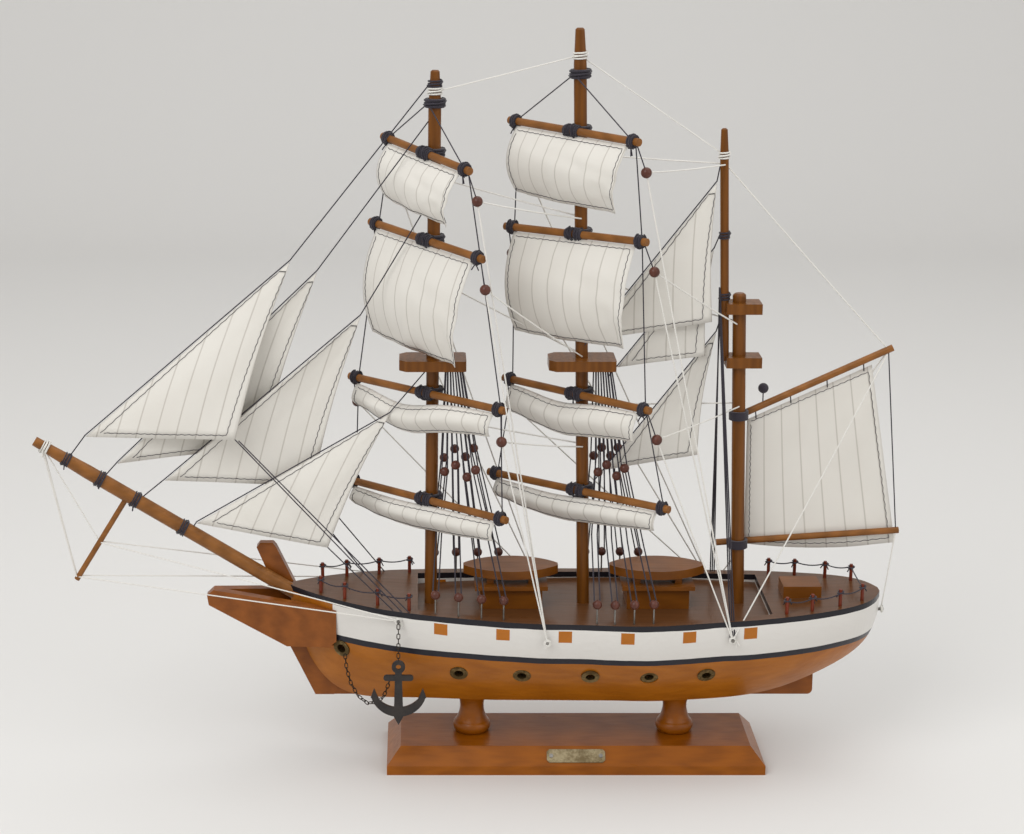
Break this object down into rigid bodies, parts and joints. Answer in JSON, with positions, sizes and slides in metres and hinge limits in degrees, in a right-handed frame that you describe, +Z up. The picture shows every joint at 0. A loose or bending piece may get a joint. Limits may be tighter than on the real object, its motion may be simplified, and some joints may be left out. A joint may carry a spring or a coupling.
{
  "type": "model sailing ship",
  "caption": "Wooden model of a three-masted sailing ship on a bevelled stand, with cloth sails, thread rigging, turning yards and a hanging anchor.",
  "frame": {"origin": "middle of the stand board's underside", "axes": "+X toward the stern, +Y to starboard, +Z up"},
  "size_m": [0.5016, 0.1068, 0.427],
  "materials": {
    "stand_wood": "satin varnish",
    "steel": "plain",
    "plate_brass": "dull",
    "hull_paint": "satin varnish, painted bands",
    "dark_wood": "satin varnish",
    "spar_wood": "satin varnish",
    "eyelet_brass": "dull",
    "house_wood": "satin",
    "post_wood": "stained",
    "black_thread": "matt",
    "white_thread": "matt",
    "bead_wood": "stained",
    "black_iron": "matt",
    "sailcloth": "plain weave"
  },
  "bodies": {
    "ship": {"stand_board": "stand_wood", "stand_posts": "stand_wood", "stand_fasteners": "steel", "name_plate": "plate_brass", "hull": "hull_paint", "keel": "dark_wood", "rudder": "dark_wood", "stem": "dark_wood", "beak": "dark_wood", "bowsprit_bitt": "dark_wood", "bowsprit": "spar_wood", "dolphin_striker": "spar_wood", "porthole_eyelets": "eyelet_brass", "deckhouses": "house_wood", "boats": "house_wood", "aft_hatch": "house_wood", "rail_posts": "post_wood", "rail_lines": "black_thread", "fore_mast": "spar_wood", "main_mast": "spar_wood", "mizzen_mast": "spar_wood", "mizzen_topmast": "spar_wood", "mast_tops": "spar_wood", "deck_pins": "steel", "deadeyes": "bead_wood", "shrouds": "black_thread", "headstays": "black_thread", "white_stays": "white_thread", "slack_chain": "black_iron", "fore_braces": "white_thread", "main_braces": "white_thread", "spanker_sheet": "white_thread", "flying_jib": "sailcloth", "outer_jib": "sailcloth", "inner_jib": "sailcloth", "fore_staysail": "sailcloth", "mizzen_topgallant_staysail": "sailcloth", "mizzen_topmast_staysail": "sailcloth", "mizzen_staysail": "sailcloth"},
    "fore_yards": {"fore_yards": "spar_wood", "fore_rigging": "black_thread", "fore_blocks": "bead_wood", "fore_course_sail": "sailcloth", "fore_topsail": "sailcloth", "fore_topgallant_sail": "sailcloth", "fore_royal_sail": "sailcloth"},
    "main_yards": {"main_yards": "spar_wood", "main_rigging": "black_thread", "main_blocks": "bead_wood", "main_course_sail": "sailcloth", "main_topsail": "sailcloth", "main_topgallant_sail": "sailcloth", "main_royal_sail": "sailcloth"},
    "spanker": {"gaff": "spar_wood", "boom": "spar_wood", "spanker_sail": "sailcloth", "spanker_rig": "black_thread"},
    "anchor": {"anchor": "black_iron", "anchor_chain": "black_iron"}
  },
  "joints": [
    {"name": "fore_yards_brace", "type": "hinge", "parent": "ship", "child": "fore_yards", "pos_m": [-0.0845, 0, 0.095], "axis": [0.0065, 0, 1], "range_deg": [-12, 0], "deforming": ["fore_braces"]},
    {"name": "main_yards_brace", "type": "hinge", "parent": "ship", "child": "main_yards", "pos_m": [0.0045, 0, 0.095], "axis": [-0.0232, 0, 0.9997], "range_deg": [-12, 0], "deforming": ["main_braces"]},
    {"name": "spanker_swing", "type": "hinge", "parent": "ship", "child": "spanker", "pos_m": [0.0948, 0, 0.095], "axis": [-0.0293, 0, 0.9996], "range_deg": [-8, 8], "deforming": ["spanker_sheet"]},
    {"name": "anchor_swing", "type": "hinge", "parent": "ship", "child": "anchor", "pos_m": [-0.103, -0.041, 0.097], "axis": [0, 1, 0], "range_deg": [-15, 15], "deforming": ["slack_chain"]}
  ]
}
